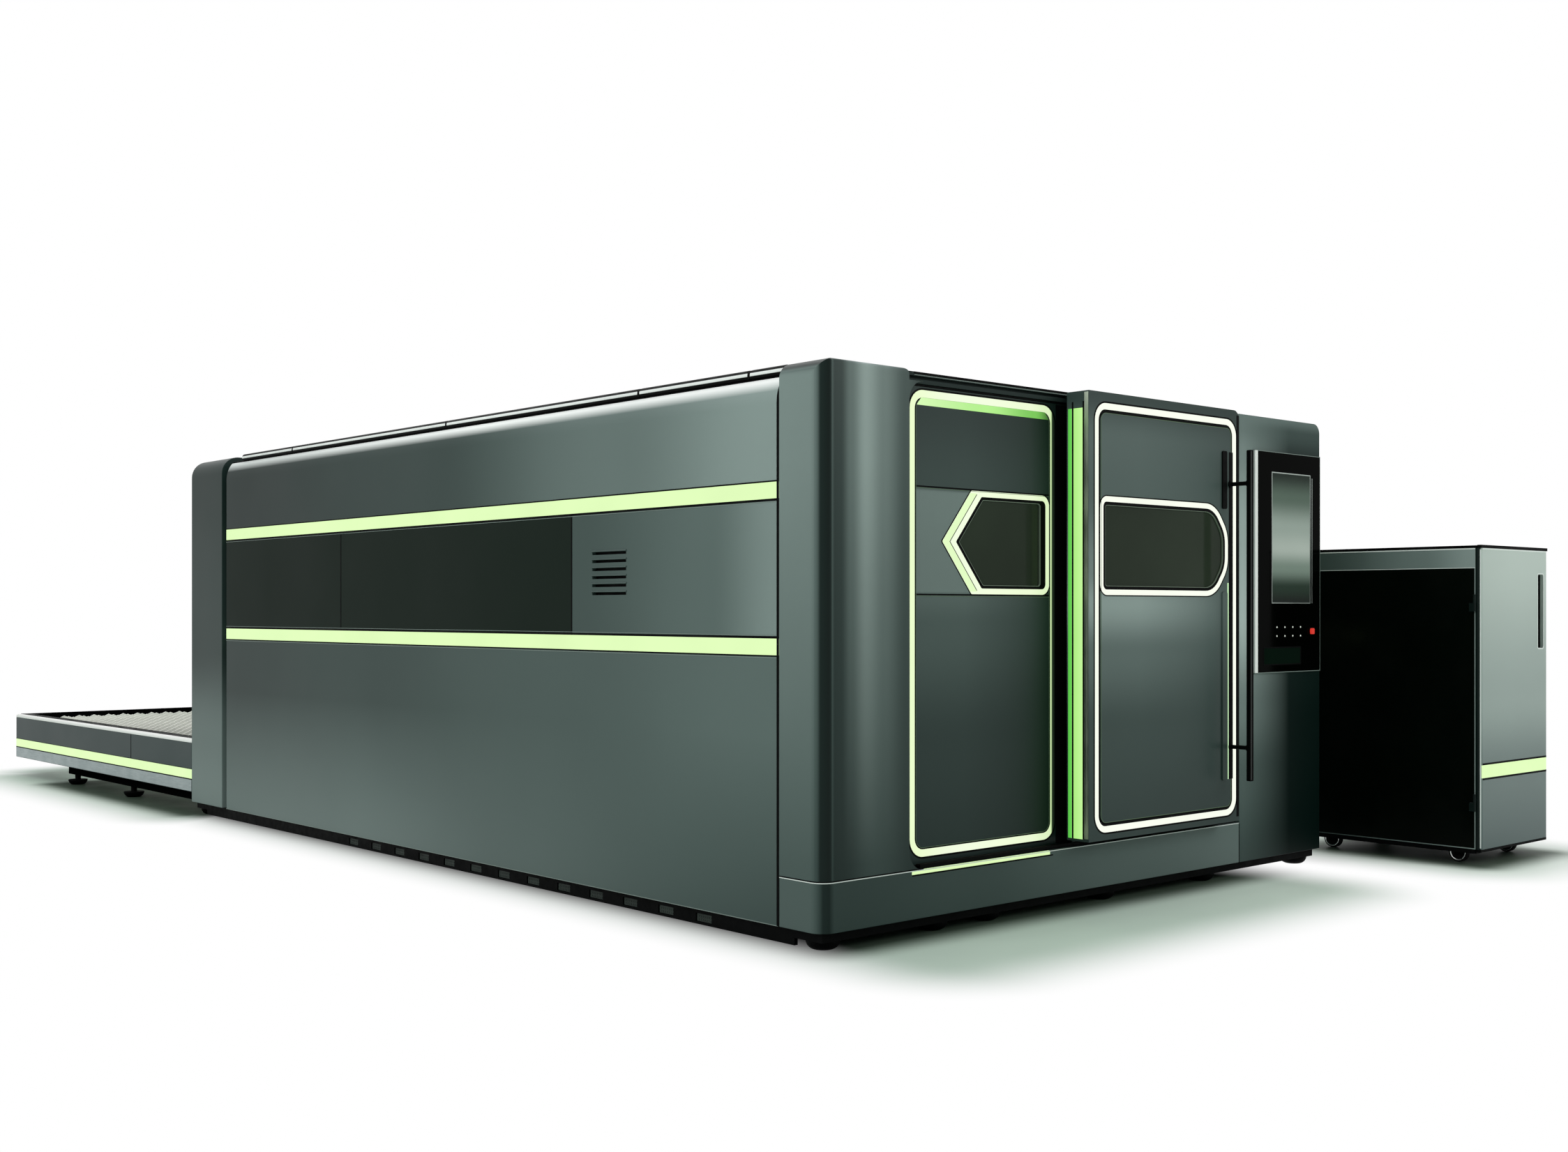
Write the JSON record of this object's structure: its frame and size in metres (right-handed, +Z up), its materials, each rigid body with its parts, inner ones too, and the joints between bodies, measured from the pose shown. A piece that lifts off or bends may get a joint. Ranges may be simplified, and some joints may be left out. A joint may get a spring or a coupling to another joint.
{
  "type": "fiber laser cutting machine",
  "caption": "Enclosed fiber laser sheet cutter with lit sliding doors, console, side stripes, pallet exchange table and a wheeled cooling unit beside it.",
  "frame": {"origin": "on the floor under the middle of the whole set's box", "axes": "+X to the right across the door front, +Y from the door front to the exchange table, +Z up"},
  "size_m": [4.412, 9.354, 2.1],
  "materials": {
    "body_paint": "satin",
    "dark_panel": "satin",
    "black_trim": "matte",
    "lime_light": "lit diffuser",
    "white_light": "lit diffuser",
    "dark_glass": "tinted",
    "console_glass": "gloss",
    "screen": "lit display",
    "status_screen": "lit display",
    "button_lens": "lit lens",
    "stop_red": "gloss",
    "bed_steel": "satin",
    "machined_steel": "ground",
    "head_alloy": "anodised",
    "pallet_steel": "galvanised",
    "pale_rim": "gloss",
    "tread": "matte"
  },
  "bodies": {
    "machine": {"base_pan": "black_trim", "levelling_feet": "black_trim", "bed_frame": "bed_steel", "guide_rails": "machined_steel", "front_plinth": "body_paint", "front_post": "body_paint", "front_header": "body_paint", "door_frame": "black_trim", "light_stripes": "lime_light", "left_lower_panel": "body_paint", "left_vent_panel": "body_paint", "left_dark_panels": "dark_panel", "left_upper_panel": "body_paint", "right_lower_panel": "body_paint", "right_centre_panel": "dark_panel", "right_upper_panel": "body_paint", "rear_portal": "body_paint", "portal_seal": "black_trim", "roof_deck": "black_trim", "roof_covers": "body_paint", "control_cabinet": "body_paint", "console_panel": "console_glass", "console_screen": "screen", "status_display": "status_screen", "laser_source": "bed_steel", "table_frame": "black_trim", "table_skirt": "body_paint", "table_rim": "pale_rim", "chiller_cabinet": "black_trim"},
    "left_leaf": {"left_door": "dark_panel", "left_door_window": "dark_glass", "left_door_lights": "white_light"},
    "right_leaf": {"right_door": "dark_panel", "right_door_window": "dark_glass", "right_door_lights": "white_light", "right_door_handle": "black_trim"},
    "gantry": {"gantry_beam": "head_alloy"},
    "carriage": {"head_carriage": "bed_steel"},
    "head": {"cutting_head": "head_alloy"},
    "pallet_a": {"upper_pallet": "pallet_steel"},
    "pallet_b": {"lower_pallet": "pallet_steel"},
    "cooler_door": {"chiller_door": "body_paint", "chiller_stripe": "lime_light"},
    "button_1": {"control_button_1": "button_lens"},
    "button_2": {"control_button_2": "button_lens"},
    "button_3": {"control_button_3": "button_lens"},
    "button_4": {"control_button_4": "button_lens"},
    "button_5": {"control_button_5": "button_lens"},
    "button_6": {"control_button_6": "button_lens"},
    "button_7": {"control_button_7": "button_lens"},
    "button_8": {"control_button_8": "button_lens"},
    "stop": {"stop_button": "stop_red"},
    "caster_1": {"caster_fork_1": "machined_steel"},
    "caster_2": {"caster_fork_2": "machined_steel"},
    "caster_3": {"caster_fork_3": "machined_steel"},
    "caster_4": {"caster_fork_4": "machined_steel"},
    "wheel_1": {"caster_wheel_1": "tread"},
    "wheel_2": {"caster_wheel_2": "tread"},
    "wheel_3": {"caster_wheel_3": "tread"},
    "wheel_4": {"caster_wheel_4": "tread"}
  },
  "joints": [
    {"name": "left_door_slide", "type": "slide", "parent": "machine", "child": "left_leaf", "axis": [1, 0, 0], "range_m": [0, 1]},
    {"name": "right_door_slide", "type": "slide", "parent": "machine", "child": "right_leaf", "axis": [-1, 0, 0], "range_m": [0, 0.85]},
    {"name": "gantry_travel", "type": "slide", "parent": "machine", "child": "gantry", "axis": [0, 1, 0], "range_m": [-1.5, 1.5]},
    {"name": "carriage_travel", "type": "slide", "parent": "gantry", "child": "carriage", "axis": [1, 0, 0], "range_m": [-0.95, 0.95]},
    {"name": "head_lift", "type": "slide", "parent": "carriage", "child": "head", "axis": [0, 0, 1], "range_m": [-0.12, 0.06]},
    {"name": "upper_pallet_slide", "type": "slide", "parent": "machine", "child": "pallet_a", "axis": [0, -1, 0], "range_m": [0, 4.64]},
    {"name": "lower_pallet_slide", "type": "slide", "parent": "machine", "child": "pallet_b", "axis": [0, 1, 0], "range_m": [0, 4.64]},
    {"name": "cooler_door_hinge", "type": "hinge", "parent": "machine", "child": "cooler_door", "pos_m": [1.4935, -4.649, 0.8], "axis": [0, 0, -1], "range_deg": [0, 110]},
    {"name": "caster_1_swivel", "type": "hinge", "parent": "machine", "child": "caster_1", "pos_m": [1.604, -4.546, 0.1], "axis": [0, 0, 1], "continuous": true},
    {"name": "wheel_1_spin", "type": "hinge", "parent": "caster_1", "child": "wheel_1", "pos_m": [1.604, -4.52, 0.045], "axis": [1, 0, 0], "continuous": true},
    {"name": "caster_2_swivel", "type": "hinge", "parent": "machine", "child": "caster_2", "pos_m": [2.103, -4.546, 0.1], "axis": [0, 0, 1], "continuous": true},
    {"name": "wheel_2_spin", "type": "hinge", "parent": "caster_2", "child": "wheel_2", "pos_m": [2.103, -4.52, 0.045], "axis": [1, 0, 0], "continuous": true},
    {"name": "caster_3_swivel", "type": "hinge", "parent": "machine", "child": "caster_3", "pos_m": [1.604, -3.88, 0.1], "axis": [0, 0, 1], "continuous": true},
    {"name": "wheel_3_spin", "type": "hinge", "parent": "caster_3", "child": "wheel_3", "pos_m": [1.604, -3.854, 0.045], "axis": [1, 0, 0], "continuous": true},
    {"name": "caster_4_swivel", "type": "hinge", "parent": "machine", "child": "caster_4", "pos_m": [2.103, -3.88, 0.1], "axis": [0, 0, 1], "continuous": true},
    {"name": "wheel_4_spin", "type": "hinge", "parent": "caster_4", "child": "wheel_4", "pos_m": [2.103, -3.854, 0.045], "axis": [1, 0, 0], "continuous": true},
    {"name": "button_1_press", "type": "slide", "parent": "machine", "child": "button_1", "axis": [0, 1, 0], "range_m": [0, 0.0025], "stiffness_N_per_m": 300},
    {"name": "button_2_press", "type": "slide", "parent": "machine", "child": "button_2", "axis": [0, 1, 0], "range_m": [0, 0.0025], "stiffness_N_per_m": 300},
    {"name": "button_3_press", "type": "slide", "parent": "machine", "child": "button_3", "axis": [0, 1, 0], "range_m": [0, 0.0025], "stiffness_N_per_m": 300},
    {"name": "button_4_press", "type": "slide", "parent": "machine", "child": "button_4", "axis": [0, 1, 0], "range_m": [0, 0.0025], "stiffness_N_per_m": 300},
    {"name": "button_5_press", "type": "slide", "parent": "machine", "child": "button_5", "axis": [0, 1, 0], "range_m": [0, 0.0025], "stiffness_N_per_m": 300},
    {"name": "button_6_press", "type": "slide", "parent": "machine", "child": "button_6", "axis": [0, 1, 0], "range_m": [0, 0.0025], "stiffness_N_per_m": 300},
    {"name": "button_7_press", "type": "slide", "parent": "machine", "child": "button_7", "axis": [0, 1, 0], "range_m": [0, 0.0025], "stiffness_N_per_m": 300},
    {"name": "button_8_press", "type": "slide", "parent": "machine", "child": "button_8", "axis": [0, 1, 0], "range_m": [0, 0.0025], "stiffness_N_per_m": 300},
    {"name": "stop_press", "type": "slide", "parent": "machine", "child": "stop", "axis": [0, 1, 0], "range_m": [0, 0.0025], "stiffness_N_per_m": 900}
  ]
}
